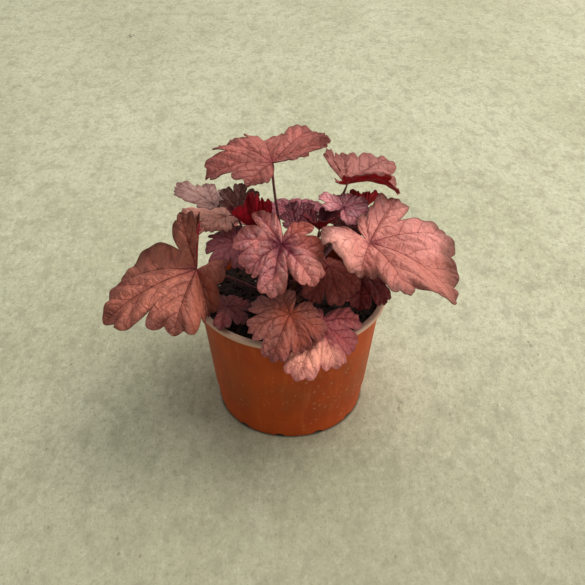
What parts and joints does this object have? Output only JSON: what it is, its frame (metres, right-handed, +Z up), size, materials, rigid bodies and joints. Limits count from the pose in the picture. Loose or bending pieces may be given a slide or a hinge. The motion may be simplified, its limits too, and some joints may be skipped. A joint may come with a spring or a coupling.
{
  "type": "potted heuchera",
  "caption": "Heuchera in a round nursery pot: a rosette of lobed, scalloped coppery leaves on long stalks above dark potting mix.",
  "frame": {"origin": "middle of the pot's underside, on the ground it stands on", "axes": "+Z up along the pot's axis, -Y towards the plant's front, +X to the right seen from the front"},
  "size_m": [0.236, 0.199, 0.2053],
  "materials": {
    "pot": "satin",
    "potting_mix": "matte",
    "crown": "matte",
    "leaf_rust": "matte",
    "leaf_salmon": "matte",
    "leaf_mauve": "matte",
    "leaf_pink": "matte",
    "leaf_dark": "matte",
    "leaf_crimson": "matte"
  },
  "bodies": {
    "root": {"pot": "pot", "potting_mix": "potting_mix", "crown": "crown", "leaf_left": "leaf_rust", "leaf_top": "leaf_rust", "leaf_top_right": "leaf_salmon", "leaf_right": "leaf_salmon", "leaf_centre": "leaf_mauve", "leaf_front": "leaf_mauve", "leaf_front_low": "leaf_pink", "leaf_under_right": "leaf_dark", "leaf_shaded": "leaf_dark", "leaf_back_right": "leaf_mauve", "leaf_behind_right": "leaf_crimson", "leaf_curled": "leaf_crimson", "leaf_upper_left": "leaf_rust", "leaf_far_left": "leaf_mauve", "leaf_far_middle": "leaf_dark", "leaf_shaded_left": "leaf_dark", "leaf_low_left": "leaf_dark", "leaf_inner": "leaf_mauve", "leaf_young": "leaf_crimson", "leaf_middle": "leaf_dark", "leaf_far_right": "leaf_rust", "leaf_back_low": "leaf_salmon", "leaf_back": "leaf_mauve", "leaf_back_left": "leaf_rust"}
  },
  "joints": []
}
